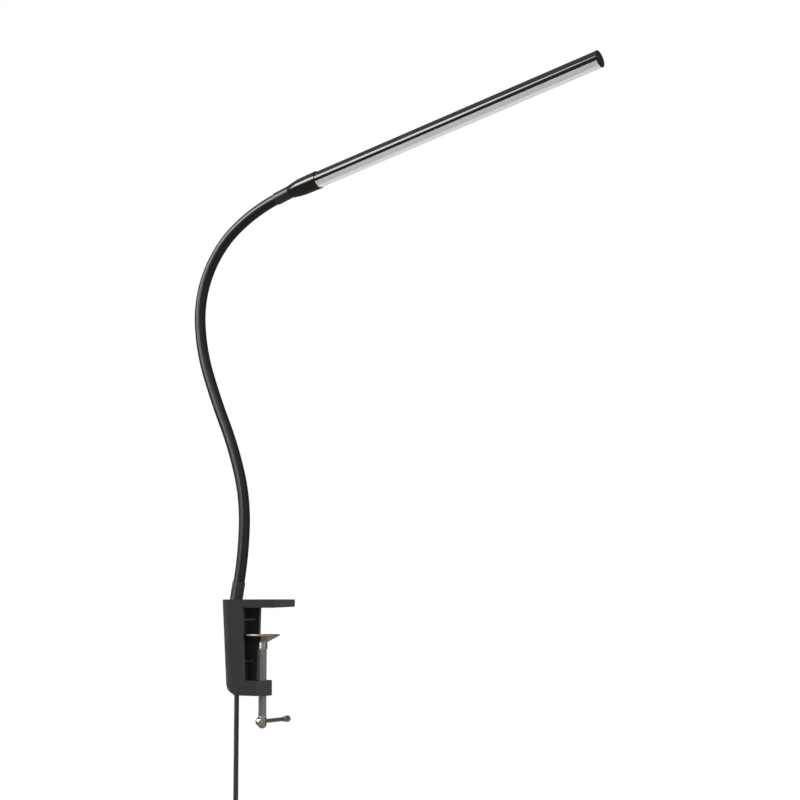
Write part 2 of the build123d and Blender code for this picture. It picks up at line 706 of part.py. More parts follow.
def supply_cord():
    return Pos(CORD_X, 0, 0) * ring(CORD_RADIUS, 0, SWITCH_TOP_Z - CORD_IN_SWITCH, BOTTOM_Z)


def switch_place():
    return Pos(CORD_X, 0, SWITCH_TOP_Z - SWITCH_SIZE[2] / 2)


def switch_shell():
    """Hollow pill of the cord switch, before it is parted into base and cover."""
    width, depth, length = SWITCH_SIZE
    outer = extrude(Plane.XZ * RectangleRounded(width, length, SWITCH_CORNER), depth / 2, both=True)
    rims = outer.edges().group_by(Axis.Y)
    outer = fillet(rims[0] + rims[-1], SWITCH_EDGE)
    trim = 2 * SWITCH_WALL
    room = RectangleRounded(width - trim, length - trim, SWITCH_CORNER - SWITCH_WALL)
    shell = outer - extrude(Plane.XZ * room, (depth - trim) / 2, both=True)
    inside = extrude(Plane.XZ * room, (depth - trim) / 2 + SWITCH_WALL / 2, both=True)
    for x, z in SWITCH_SCREW_PLACES:
        shell += Pos(x, 0, z) * Rot(90, 0, 0) * Cylinder(SCREW_BOSS, depth) & inside
    return shell - ring(CORD_HOLE_RADIUS, 0, -length, length)


def switch_half(low_y, high_y):
    width, _, length = SWITCH_SIZE
    return switch_shell() & block((-width, width), (low_y, high_y), (-length, length))


def across(radius, low_y, high_y, x, z):
    """Rod along Y."""
    return Pos(x, (low_y + high_y) / 2, z) * Rot(90, 0, 0) * Cylinder(radius, high_y - low_y)


def screw_solid(x, z):
    radius, height = SCREW_HEAD
    seat = SWITCH_SIZE[1] / 2 - SWITCH_WALL
    return across(SCREW_RADIUS, SCREW_TIP_Y, seat, x, z) + across(radius, seat, seat + height, x, z)


def switch_base():
    half = switch_half(0, SWITCH_SIZE[1])
    seat = SWITCH_SIZE[1] / 2 - SWITCH_WALL
    for x, z in SWITCH_SCREW_PLACES:
        half -= across(SCREW_RADIUS, -MARGIN, seat + MARGIN, x, z)
        half -= across(SCREW_HEAD[0] + RUNNING_GAP, seat, SWITCH_SIZE[1], x, z)
    return switch_place() * half


def switch_cover():
    """Front half of the switch: a window for the rocker and two ears for its pin."""
    half = switch_half(-SWITCH_SIZE[1], 0)
    thickness, depth, height = EAR
    for side in (-EAR_X, EAR_X):
        half += Pos(side, ROCKER_PIVOT_Y, 0) * Box(thickness, depth, height)
    pin_hole = Rot(0, 90, 0) * Cylinder(ROCKER_PIN + RUNNING_GAP, 2 * EAR_X + thickness)
    half -= Pos(0, ROCKER_PIVOT_Y, 0) * pin_hole
    half -= Pos(0, -SWITCH_SIZE[1] / 2, 0) * Box(WINDOW[0], 3 * SWITCH_WALL, WINDOW[1])
    for x, z in SWITCH_SCREW_PLACES:
        half -= across(SCREW_RADIUS, SCREW_TIP_Y, MARGIN, x, z)
    return switch_place() * half


def switch_rocker():
    """Rocker tipped to its off side, with its pivot pin."""
    profile = make_face(Polyline(*ROCKER_PROFILE, close=True))
    body = extrude(Plane.YZ * profile, ROCKER_WIDTH / 2, both=True)
    pin = Pos(0, ROCKER_PIVOT_Y, 0) * Rot(0, 90, 0) * Cylinder(ROCKER_PIN, ROCKER_PIN_LENGTH)
    rocker = Pos(0, -ROCKER_PIVOT_Y, 0) * (body + pin)
    return switch_place() * Pos(0, ROCKER_PIVOT_Y, 0) * Rot(ROCKER_TIP_DEG, 0, 0) * rocker


def switch_screws():
    return [switch_place() * screw_solid(x, z) for x, z in SWITCH_SCREW_PLACES]


def cord_hank():
    """Outer shape of the folded cord: a waisted loop, as thick as its turns side by side."""
    radius = HANK_END_RADIUS + HANK_SKIN
    waist = HANK_WAIST + HANK_SKIN
    height = HANK_END_Z
    top = height + radius
    outline = face_of(
        ThreePointArc((-radius, height), (0, top), (radius, height)),
        ThreePointArc((radius, height), (waist, 0), (radius, -height)),
        ThreePointArc((radius, -height), (0, -top), (-radius, -height)),
        ThreePointArc((-radius, -height), (-waist, 0), (-radius, height)),
    )
    depth = HANK_TURNS * HANK_PITCH / 2 + HANK_SKIN
    return Pos(CORD_X, 0, HANK_Z) * extrude(Plane.XZ * outline, depth, both=True)


def hank_tie():
    """Flat band drawn round the hank's waist and the cord's last run."""
    inner = make_face(Polyline(*TIE_CORNERS, close=True))
    band = extrude(offset(inner, TIE_THICKNESS) - inner, TIE_HEIGHT)
    return Pos(CORD_X, 0, HANK_Z - TIE_HEIGHT / 2) * band


def plug_place():
    return Pos(CORD_X, PLUG_Y, PLUG_TOP_Z)


def plug_body():
    """Flat two-pin plug with a tapered strain relief on its cord end."""
    width, depth, length = PLUG_BODY
    shoulder_z = -RELIEF_LENGTH
    middle_z = shoulder_z - length / 2
    face_z = shoulder_z - length
    upper = loft([
        Pos(0, 0, shoulder_z) * RectangleRounded(*PLUG_SHOULDER, PLUG_SHOULDER_CORNER),
        Pos(0, 0, middle_z) * RectangleRounded(width, depth, PLUG_CORNER),
    ])
    lower = Pos(0, 0, face_z) * extrude(RectangleRounded(width, depth, PLUG_CORNER), length / 2)
    lower = fillet(lower.edges().group_by(Axis.Z)[0], EDGE_ROUND)
    thin, thick = RELIEF_RADII
    root_z = shoulder_z - MARGIN
    sleeve = turned((0, root_z), (thick, root_z), (thick, shoulder_z), (thin, 0), (0, 0))
    body = upper + lower + sleeve
    for side in (-PIN_SPACING / 2, PIN_SPACING / 2):
        body -= Pos(side, 0, 0) * ring(PIN_RADIUS, 0, face_z - MARGIN, face_z + PIN_SEAT)
    return plug_place() * body


def plug_pins():
    face_z = -RELIEF_LENGTH - PLUG_BODY[2]
    pin = ring(PIN_RADIUS, 0, face_z - PIN_LENGTH, face_z + PIN_SEAT)
    pin = fillet(pin.edges().group_by(Axis.Z)[0], PIN_TIP_ROUND)
    return [plug_place() * Pos(side, 0, 0) * pin for side in (-PIN_SPACING / 2, PIN_SPACING / 2)]


def write(node, shape):
    """One STEP file for each node; a list is a group of separate solids."""
    if isinstance(shape, list):
        shape = Compound(children=[solid for item in shape for solid in item.solids()])
    else:
        solids = shape.solids()
        shape = solids[0] if len(solids) == 1 else Compound(children=solids)
    export_step(shape, f"parts/{node}.step")


def write_gooseneck():
    last = len(ARC_TURNS_DEG) - 1
    for index in range(last + 1):
        write(f"gooseneck_sleeve_{index + 1}", neck_layer(index, *SLEEVE_RADII))
        write(f"gooseneck_hose_{index + 1}", neck_layer(index, *HOSE_RADII))
        flex = neck_layer(index, *FLEX_RADII)
        write(f"gooseneck_flex_{index + 1}", flex_end(flex) if index == last else flex)


def main():
    os.makedirs("parts", exist_ok=True)
    pieces = (
        clamp_frame, jaw_pad, spindle_insert, clamp_spindle, pressure_cup, cup_bush, tommy_bar,
        tommy_knobs, base_ferrule, base_washer, base_nut, strain_relief, cord_inner, top_ferrule,
        neck_cone, collar_ring, light_tube, diffuser, end_cap, led_board, led_chips, driver_board,
        driver_parts, lead_wires, supply_cord, switch_base, switch_cover, switch_rocker,
        switch_screws, cord_hank, hank_tie, plug_body, plug_pins,
    )
    for piece in pieces:
        write(piece.__name__, piece())
    write("cord_lower", cord_tube(LOWER_LEAD))
    write("cord_tail", cord_tube(TAIL_LEAD))
    write_gooseneck()


main()
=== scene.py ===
"""Looks of a clamp lamp: screw clamp, gooseneck, slim light tube with an opal diffuser, mains cord."""
import json
from math import cos, pi, radians, sin, tan

import bmesh
import bpy
import numpy as np
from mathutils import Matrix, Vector


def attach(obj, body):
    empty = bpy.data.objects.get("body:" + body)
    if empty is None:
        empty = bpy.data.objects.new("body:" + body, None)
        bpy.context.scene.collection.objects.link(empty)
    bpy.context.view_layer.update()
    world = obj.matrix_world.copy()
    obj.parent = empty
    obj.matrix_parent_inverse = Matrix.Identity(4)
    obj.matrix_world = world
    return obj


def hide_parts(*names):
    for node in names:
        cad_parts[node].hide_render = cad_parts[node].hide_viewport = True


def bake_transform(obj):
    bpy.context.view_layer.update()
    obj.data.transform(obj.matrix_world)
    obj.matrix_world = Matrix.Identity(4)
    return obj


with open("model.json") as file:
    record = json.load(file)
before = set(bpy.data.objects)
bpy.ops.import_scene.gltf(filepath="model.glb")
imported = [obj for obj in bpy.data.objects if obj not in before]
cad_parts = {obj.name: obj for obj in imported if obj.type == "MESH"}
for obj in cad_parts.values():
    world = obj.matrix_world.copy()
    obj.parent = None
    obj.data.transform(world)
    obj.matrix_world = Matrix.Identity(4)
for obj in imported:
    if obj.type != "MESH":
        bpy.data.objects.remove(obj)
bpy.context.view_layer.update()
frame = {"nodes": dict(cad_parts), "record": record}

MM = 0.001
NODES = frame["nodes"]

# Camera: level with the clamp, turned about a third of a right angle, tilted up; lens in millimetres
CAMERA_PLACE = (1.10225, -1.5058, 0.0028)
CAMERA_HEADING_DEG = 32.0
CAMERA_TILT_DEG = 6.324
CAMERA_LENS = 83.25
CAMERA_SENSOR = 36.0
CAMERA_NEAREST = 0.05

# Gooseneck, in millimetres: the same values as the solids
TOP_Z = 8.4
BASE_X = -33.7
BASE_TILT_DEG = 10.77
FERRULE_LENGTH = 18.0
FERRULE_FLOOR = 4.0
ARC_LENGTH = 55.7
ARC_TURNS_DEG = (-9.2, -17.8, -8.8, 4.7, 16.9, 30.1, 28.2, 17.3)
SLEEVE_RADIUS = 5.65
SLEEVE_BORE = 4.1
SLEEVE_TAIL = 13.0
HEAD_TURN_DEG = 4.4
NECK_SAMPLES = 6000
SLEEVE_RING_SPACING = 1.5
SLEEVE_COLUMNS = 48

# Depths along the window's own downward direction where painted light turns the diffuser paler, in metres
PAINTED_LIGHT_DEPTHS = (-0.3949, -0.3940)

# Clamp spindle and pressure cup, in millimetres; rows of a profile are radius and height
SPINDLE_END_Z = -119.1
SPINDLE_END_RADIUS = 4.3
SPINDLE_END_ROUND = 4.2
SPINDLE_END_ROWS = 10
SPINDLE_END_STEP = 0.3
SPINDLE_COLUMNS = 72
THREAD_SPAN = (-107.5, -40.5)
THREAD_RADIUS = 4.2
THREAD_DEPTH = 0.5
THREAD_PITCH = 1.25
THREAD_RUN_OUT = 1.5
THREAD_ROWS_PER_TURN = 11
RIVET = ((2.2, -40.5), (2.2, -32.5), (3.0, -32.5), (3.0, -32.0), (2.2, -31.5), (0.0, -31.5))
CUP_OUTSIDE = ((3.2, -33.9), (4.6, -33.9), (5.1, -33.8), (5.5, -33.45))
CUP_INSIDE = ((4.7, -32.35), (4.4, -32.52), (4.0, -32.6), (3.2, -32.6))
CUP_RIM = (16.35, -26.85)
CUP_RIM_ROUND = 0.65
CUP_RIM_ROWS = 14
CUP_CONE_DEG = 28.0
CUP_COLUMNS = 96
TURNED_SHARP_DEG = 50.0

# Zones of the plated metal, in metres from the spindle's axis and above the desk face
GROOVE_RADII = (0.00375, 0.00415)
DULL_RADIUS = 0.0046
WORN_RIM_RADIUS = 0.0158
WORN_RIM_LEVEL = -0.036

# Cord, in millimetres; lead, hank and tail are measured from the line it hangs on
CORD_X = -31.95
CORD_DIAMETER = 4.9
CORD_EXIT_Z = -86.7
CORD_LEAD = ((0, 0, CORD_EXIT_Z), (0, 0, -118), (0, 0, -206), (0, 0, -262), (0, -1.5, -277),
             (-4, -9, -291), (-11, -15.5, -306))
CORD_TAIL = ((-13.5, 23.5, -336), (-6.5, 27.5, -349), (0, 28.5, -362), (0, 28.5, -376))
CORD_RING_STEPS = 6
CORD_SPAN_STEPS = 8
HANK_Z = -352.0
HANK_TURNS = 7
HANK_PITCH = 5.2
HANK_START = 2
HANK_QUARTER = ((0.0, 47.5), (12.4, 42.4), (17.5, 30.0), (14.0, 13.0), (12.5, 0.0))

# Floor, in metres
FLOOR_Z = -0.456
FLOOR_RADII = (0.0, 0.7, 1.4)
FLOOR_COLUMNS = 96

# Points closer than this are one, in metres
WELD_DISTANCE = 1e-7

# Room that glossy surfaces mirror: each glow's direction, the leans at which it starts and is full, its tone
ROOM_TONE = 0.04
ROOM_ABOVE_FRONT = ((-0.25, -0.6, 0.76), 0.0, 0.85)
ABOVE_FRONT_TONE = 0.65
ROOM_BEHIND_RIGHT = ((0.4, 0.8, 0.42), 0.5, 0.85)
BEHIND_RIGHT_TONE = 0.095
ROOM_RIGHT = ((0.96, -0.28, 0.0), 0.6, 1.0)
RIGHT_TONE = 0.38
ROOM_BELOW = ((0, 0, -1), 0.1, 0.7)
BELOW_COLOUR = (0.3, 0.23, 0.18, 1.0)
MATT_TONE = 0.42

# Studio lamps: the point each faces, its direction and distance from there, its size and its radiance
LAMPS = (
    dict(name="tube_box", aim=(0.2, 0.0, 0.46), azimuth_deg=-132, elevation_deg=19, distance=5.0,
         size=(2.6, 1.8), glow=14.0, lighting=False),
    dict(name="neck_box", aim=(-0.03, 0.0, 0.25), azimuth_deg=-96, elevation_deg=8, distance=4.0,
         size=(0.63, 1.12), glow=11.0),
    dict(name="ferrule_card", aim=(-0.03, 0.0, 0.018), azimuth_deg=-118, elevation_deg=-1, distance=0.5,
         size=(0.08, 0.08), glow=12.0, beam_deg=50, lighting=False),
    dict(name="front_box", aim=(0.0, 0.0, -0.1), azimuth_deg=-72, elevation_deg=50, distance=2.2,
         size=(0.5, 0.5), glow=8.0),
    dict(name="right_fill", aim=(0.0, 0.0, -0.04), azimuth_deg=-8, elevation_deg=4, distance=2.0,
         size=(0.6, 0.6), glow=63.0, beam_deg=40, mirrored=False),
    dict(name="left_fill", aim=(0.0, 0.0, 0.0), azimuth_deg=-175, elevation_deg=0, distance=2.0,
         size=(0.4, 0.4), glow=280.0, beam_deg=20, mirrored=False),
    dict(name="top_fill", aim=(0.1, 0.0, 0.0), azimuth_deg=90, elevation_deg=86, distance=2.3,
         size=(1.6, 1.6), glow=2.2, mirrored=False),
)


def place_in_scene(thing):
    """Put an object into the scene's collection."""
    bpy.context.scene.collection.objects.link(thing)


def set_camera():
    """Camera at the photograph's place and angle."""
    camera = bpy.data.objects.new("camera", bpy.data.cameras.new("camera"))
    place_in_scene(camera)
    camera.data.lens = CAMERA_LENS
    camera.data.sensor_width = CAMERA_SENSOR
    camera.data.clip_start = CAMERA_NEAREST
    camera.location = CAMERA_PLACE
    camera.rotation_euler = (radians(90 + CAMERA_TILT_DEG), 0, radians(CAMERA_HEADING_DEG))
    bpy.context.scene.camera = camera


def hank_points():
    """Loop of the folded cord: a quarter mirrored twice, each turn one pitch further along Y."""
    quarter = np.array(HANK_QUARTER)
    left = quarter * (-1, 1)
    loop = np.concatenate([left, left[-2::-1] * (1, -1), quarter[1:] * (1, -1), quarter[-2:0:-1]])
    steps = len(loop)
    step = np.arange(HANK_TURNS * steps + 1)
    x, z = loop[(step + HANK_START) % steps].T
    return np.c_[x, HANK_PITCH * (step / steps - HANK_TURNS / 2), HANK_Z + z]


def make_cord():
    """One NURBS line: down from the clamp, through the switch, round the hank and on to the plug."""
    route = np.concatenate([CORD_LEAD, hank_points(), CORD_TAIL])
    points = (route + (CORD_X, 0, 0)) * MM
    curve = bpy.data.curves.new("mains_cord", "CURVE")
    curve.dimensions = "3D"
    curve.bevel_depth = CORD_DIAMETER / 2 * MM
    curve.bevel_resolution = CORD_RING_STEPS
    curve.resolution_u = CORD_SPAN_STEPS
    curve.use_fill_caps = True
    spline = curve.splines.new("NURBS")
    spline.points.add(len(points) - 1)
    spline.points.foreach_set("co", np.c_[points, np.ones(len(points))].ravel())
    spline.order_u = 3
    spline.use_endpoint_u = True
    cord = bpy.data.objects.new("mains_cord", curve)
    place_in_scene(cord)
    cord.data.materials.append(FINISHES["cord_black"])
    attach(cord, "root")
    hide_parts("supply_cord", "cord_lower", "cord_hank", "cord_tail")


class Wire:
    """A shader socket; Python's operators on it add Math nodes."""

    def __init__(self, finish, socket):
        self.finish = finish
        self.socket = socket

    def math(self, operation, first, second):
        return self.finish.node("Math", {"operation": operation}, {0: first, 1: second})

    def __add__(self, other):
        return self.math("ADD", self, other)

    def __radd__(self, other):
        return self.math("ADD", other, self)

    def __sub__(self, other):
        return self.math("SUBTRACT", self, other)

    def __rsub__(self, other):
        return self.math("SUBTRACT", other, self)

    def __mul__(self, other):
        return self.math("MULTIPLY", self, other)

    def __rmul__(self, other):
        return self.math("MULTIPLY", other, self)

    def __gt__(self, other):
        return self.math("GREATER_THAN", self, other)

    def __lt__(self, other):
        return self.math("LESS_THAN", self, other)


class Finish:
    """A node tree under construction, with one method that makes any node in it."""

    def __init__(self, owner):
        owner.use_nodes = True
        self.owner = owner
        self.tree = owner.node_tree
        self.tree.nodes.clear()

    def node(self, kind, settings, sockets, out=0):
        made = self.tree.nodes.new("ShaderNode" + kind)
        for key, value in settings.items():
            if key == "stops":
                for element, (stop, colour) in zip(made.color_ramp.elements, value):
                    element.position = stop
                    element.color = colour
            else:
                setattr(made, key, value)
        for key, value in sockets.items():
            if isinstance(value, Wire):
                self.tree.links.new(value.socket, made.inputs[key])
            else:
                made.inputs[key].default_value = value
        return Wire(self, made.outputs[out]) if len(made.outputs) else None

    def place(self):
        return self.node("TexCoord", {}, {}, "Object")

    def noise(self, scale, detail, place=None):
        """Noise from 0 to 1, scale in waves to the metre."""
        return self.node("TexNoise", {}, {"Vector": place or self.place(), "Scale": scale, "Detail": detail})

    def stretched(self, place, stretch):
        return self.node("Mapping", {}, {"Vector": place, "Scale": stretch})

    def along(self, vector, direction):
        """How far a vector reaches along a direction."""
        return self.node("VectorMath", {"operation": "DOT_PRODUCT"}, {0: vector, 1: direction}, "Value")

    def rise(self, value, start, full):
        """0 up to a start, 1 from full on, and even between them."""
        return self.node("MapRange", {}, {"Value": value, "From Min": start, "From Max": full})

    def mix(self, factor, first, second):
        return self.node("Mix", {"data_type": "RGBA"}, {0: factor, 6: first, 7: second}, 2)

    def clouded(self, cloud, tone, drift):
        """Grey that drifts to either side of its tone."""
        return self.mix(cloud, shade(tone * (1 - drift)), shade(tone * (1 + drift)))

    def bump(self, height, distance, strength):
        return self.node("Bump", {}, {"Height": height, "Distance": distance, "Strength": strength})

    def surface(self, sockets):
        shader = self.node("BsdfPrincipled", {}, sockets)
        self.node("OutputMaterial", {}, {"Surface": shader})
        return self.owner


def finish(name):
    return Finish(bpy.data.materials.new(name))


def rgb(red, green, blue):
    return (red, green, blue, 1.0)


def shade(tone, warmth=0.04):
    """Grey of a given tone, a touch warm."""
    return rgb(tone * (1 + warmth), tone, tone * (1 - warmth))


def satin_moulding(name, tone, rough, grain, shine=0.5):
    """Moulded black plastic: a fine spark-eroded grain and faint flow marks."""
    f = finish(name)
    fine = f.noise(scale=grain, detail=3.0)
    flow = f.noise(scale=45.0, detail=4.0)
    return f.surface({
        "Base Color": f.clouded(flow, tone, drift=0.15),
        "Specular IOR Level": shine,
        "Roughness": rough + (flow - 0.5) * 0.1 + (fine - 0.5) * 0.08,
        "Normal": f.bump(fine, distance=0.00004, strength=0.2),
    })


def gloss_lacquer(name, tone, rough):
    """Black lacquer: a mirror-like coat with the slightest waviness and a few dull specks."""
    f = finish(name)
    wave = f.noise(scale=60.0, detail=1.0)
    dots = f.noise(scale=900.0, detail=2.0)
    speck = f.node("ValToRGB", {"stops": [(0.7, rgb(0, 0, 0)), (0.76, rgb(1, 1, 1))]}, {"Fac": dots})
    return f.surface({
        "Base Color": f.clouded(wave, tone, drift=0.15),
        "Roughness": rough + speck * 0.04 + wave * 0.02,
        "Normal": f.bump(wave, distance=0.00002, strength=0.1),
    })


def plated_metal(name, colour, rough):
    """Metal plate: fine turning marks and cloudy wear; the spindle's thread is dull and darker towards the
    bottoms of its grooves, and the cup's rim is worn dull."""
    f = finish(name)
    place = f.place()
    cloud = f.noise(scale=180.0, detail=4.0)
    lines = f.noise(scale=1.0, detail=2.0, place=f.stretched(place, (300.0, 300.0, 6000.0)))
    level = f.node("SeparateXYZ", {}, {"Vector": place}, "Z")
    beside = f.node("VectorMath", {"operation": "LENGTH"}, {0: f.stretched(place, (1, 1, 0))}, "Value")
    groove, crest = GROOVE_RADII
    deep = f.rise(beside, crest, groove)
    bottom, top = (height * MM for height in THREAD_SPAN)
    dull = (beside < DULL_RADIUS) * (level > bottom) * (level < top)
    worn = (beside > WORN_RIM_RADIUS) * (level > WORN_RIM_LEVEL)
    red, green, blue = colour
    plate = f.mix(cloud, rgb(red * 0.86, green * 0.85, blue * 0.83), rgb(red, green, blue))
    thread = f.mix(deep, shade(0.15), shade(0.06))
    return f.surface({
        "Base Color": f.mix(dull, plate, thread),
        "Metallic": 1.0 - dull * 0.85,
        "Roughness": rough + (cloud - 0.5) * 0.1 + lines * 0.05 + (dull + worn) * 0.2,
        "Normal": f.bump(lines, distance=0.00001, strength=0.1),
    })


def soft_rubber(name, tone, rough, pebbles):
    """Soft black rubber or cord jacket: finely pebbled, a little dusty in patches."""
    f = finish(name)
    pebble = f.noise(scale=pebbles, detail=2.0)
    dust = f.noise(scale=70.0, detail=5.0)
    return f.surface({
        "Base Color": f.clouded(dust, tone, drift=0.2),
        "Roughness": rough + (dust - 0.5) * 0.1,
        "Normal": f.bump(pebble, distance=0.00003, strength=0.15),
    })


def opal_plastic():
    """Opal diffuser: milky plastic, its sides greyed by painted shade and the middle of its window made
    paler by painted light."""
    f = finish("opal_diffuser")
    cloud = f.noise(scale=25.0, detail=3.0)
    grain = f.noise(scale=3500.0, detail=2.0)
    heading = radians(BASE_TILT_DEG + sum(ARC_TURNS_DEG) + HEAD_TURN_DEG)
    depth = f.along(f.place(), (cos(heading), 0, -sin(heading)))
    # Painted light: the middle of the window is painted paler
    middle = f.rise(depth, *PAINTED_LIGHT_DEPTHS)
    # Painted shade: the sides are painted greyer
    side = f.mix(cloud, rgb(0.52, 0.515, 0.5), rgb(0.55, 0.545, 0.53))
    return f.surface({
        "Base Color": f.mix(middle, side, rgb(0.84, 0.835, 0.82)),
        "Specular IOR Level": 0.25,
        "Roughness": 0.42 + grain * 0.06,
        "Normal": f.bump(grain, distance=0.00001, strength=0.04),
    })


def board(name, colour, copper):
    """Circuit board: lacquered, with a regular pattern of slightly lighter tracks."""
    f = finish(name)
    tracks = f.node("TexWave", {"bands_direction": "Y"},
                    {"Vector": f.place(), "Scale": 420.0, "Distortion": 3.0})
    return f.surface({
        "Base Color": f.mix(tracks, colour, copper),
        "Roughness": 0.3 + f.noise(scale=800.0, detail=2.0) * 0.1,
        "Normal": f.bump(tracks, distance=0.00003, strength=0.3),
    })


FINISHES = {
    "clamp_black": satin_moulding("clamp_black", tone=0.026, rough=0.6, grain=2600.0, shine=0.1),
    "switch_black": satin_moulding("switch_black", tone=0.022, rough=0.45, grain=3200.0),
    "plug_black": satin_moulding("plug_black", tone=0.022, rough=0.5, grain=2800.0),
    "part_dark": satin_moulding("part_dark", tone=0.05, rough=0.4, grain=3000.0),
    "ferrule_black": satin_moulding("ferrule_black", tone=0.017, rough=0.34, grain=4000.0),
    "neck_black": gloss_lacquer("neck_black", tone=0.006, rough=0.07),
    "tube_black": gloss_lacquer("tube_black", tone=0.006, rough=0.06),
    "nickel": plated_metal("nickel", colour=(0.66, 0.65, 0.63), rough=0.2),
    "steel": plated_metal("steel", colour=(0.55, 0.55, 0.56), rough=0.34),
    "brass": plated_metal("brass", colour=(0.78, 0.58, 0.28), rough=0.3),
    "pad_rubber": soft_rubber("pad_rubber", tone=0.02, rough=0.7, pebbles=1800.0),
    "sleeve_black": soft_rubber("sleeve_black", tone=0.005, rough=0.32, pebbles=2500.0),
    "cord_black": soft_rubber("cord_black", tone=0.016, rough=0.4, pebbles=2200.0),
    "wire_red": soft_rubber("wire_red", tone=0.2, rough=0.5, pebbles=3000.0),
    "opal": opal_plastic(),
    "board_white": board("board_white", colour=rgb(0.8, 0.8, 0.76), copper=rgb(0.68, 0.66, 0.6)),
    "board_green": board("board_green", colour=rgb(0.03, 0.2, 0.08), copper=rgb(0.08, 0.3, 0.14)),
    "led_yellow": board("led_yellow", colour=rgb(0.9, 0.8, 0.35), copper=rgb(0.85, 0.82, 0.6)),
}


def dress_solids():
    """Every solid that stays in view gets the finish of its slot."""
    for part in frame["record"]["subparts"]:
        mesh = NODES[part["node"]].data
        mesh.materials.clear()
        mesh.materials.append(FINISHES[part["material_slot"]])


def once_round(columns):
    """Angles of one turn, as a row."""
    return np.linspace(0, 2 * pi, columns, endpoint=False)[None, :]


def grid_mesh(name, grid, closed_rows=False, sharp_deg=40.0):
    """Mesh from a grid of points, its columns joined in a ring; rows too where they close.
    Rows drawn together to one point become a pole."""
    rows, columns = grid.shape[:2]
    last = rows if closed_rows else rows - 1
    row, column = np.meshgrid(np.arange(last), np.arange(columns), indexing="ij")
    below, beside = (row + 1) % rows, (column + 1) % columns
    quads = np.stack([row * columns + column, row * columns + beside,
                      below * columns + beside, below * columns + column], axis=-1)
    mesh = bpy.data.meshes.new(name)
    mesh.from_pydata(grid.reshape(-1, 3).tolist(), [], quads.reshape(-1, 4).tolist())
    shape = bmesh.new()
    shape.from_mesh(mesh)
    bmesh.ops.remove_doubles(shape, verts=shape.verts, dist=WELD_DISTANCE)
    bmesh.ops.dissolve_degenerate(shape, edges=shape.edges, dist=WELD_DISTANCE)
    bmesh.ops.recalc_face_normals(shape, faces=shape.faces)
    shape.to_mesh(mesh)
    shape.free()
    mesh.polygons.foreach_set("use_smooth", np.ones(len(mesh.polygons), bool))
    mesh.set_sharp_from_angle(angle=radians(sharp_deg))
    return mesh


def grid_piece(name, grid, slot, **settings):
    """Named piece of the lamp from a grid of points, in the finish of a slot."""
    mesh = grid_mesh(name, grid, **settings)
    mesh.materials.append(FINISHES[slot])
    piece = bpy.data.objects.new(name, mesh)
    place_in_scene(piece)
    return piece


def neck_line(reach):
    """Points and headings of the gooseneck's middle line at distances from its first arc's start:
    straight before the first arc and after the last, each arc turning evenly over its length."""
    turned = np.r_[0.0, np.cumsum(np.radians(ARC_TURNS_DEG))]
    knots = np.arange(len(turned)) * ARC_LENGTH
    heading = radians(BASE_TILT_DEG) + np.interp(reach, knots, turned)
    fine = np.linspace(-FERRULE_LENGTH, knots[-1] + 2 * FERRULE_LENGTH, NECK_SAMPLES)
    angle = radians(BASE_TILT_DEG) + np.interp(fine, knots, turned)
    step = fine[1] - fine[0]
    between = (angle[1:] + angle[:-1]) / 2
    x = BASE_X + np.r_[0.0, np.cumsum(np.sin(between))] * step
    z = TOP_Z + np.r_[0.0, np.cumsum(np.cos(between))] * step
    return np.interp(reach, fine, x), np.interp(reach, fine, z), heading


def sleeve_piece(index):
    """Rubber sleeve from the middle of one link to the middle of the next, a ring carried along the
    neck's line and back along its bore; it bends evenly about the joint between them."""
    links = len(ARC_TURNS_DEG)
    start = FERRULE_FLOOR - FERRULE_LENGTH if index == 1 else (index - 0.5) * ARC_LENGTH
    end = links * ARC_LENGTH + SLEEVE_TAIL if index == links - 1 else (index + 0.5) * ARC_LENGTH
    out = np.linspace(start, end, int((end - start) / SLEEVE_RING_SPACING))
    reach = np.concatenate([out, out[::-1]])
    radius = np.where(np.arange(len(reach)) < len(out), SLEEVE_RADIUS, SLEEVE_BORE)[:, None]
    around = once_round(SLEEVE_COLUMNS)
    x, z, heading = (value[:, None] for value in neck_line(reach))
    across = radius * np.cos(around)
    grid = np.stack([x + across * np.cos(heading), radius * np.sin(around), z - across * np.sin(heading)],
                    axis=-1)
    piece = grid_piece(f"sleeve_bend_{index}", grid * MM, "sleeve_black", closed_rows=True)
    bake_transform(piece)
    stands_for = [index, links] if index == links - 1 else [index]
    layers = ("sleeve", "hose", "flex")
    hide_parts(*[f"gooseneck_{layer}_{i}" for i in stands_for for layer in layers])


def turned_piece(name, profile, slot, body, node, columns, closed_rows=False):
    """Surface of revolution about the spindle's axis: a profile of (radius, height) rows turned round Z,
    where radius may also change with the angle."""
    radius, height = profile
    around = once_round(columns)
    radius = np.broadcast_to(radius, (len(height), columns))
    level = np.broadcast_to(height[:, None], radius.shape)
    grid = np.stack([radius * np.cos(around), radius * np.sin(around), level], axis=-1)
    piece = grid_piece(name, grid * MM, slot, closed_rows=closed_rows, sharp_deg=TURNED_SHARP_DEG)
    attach(piece, body)
    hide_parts(node)


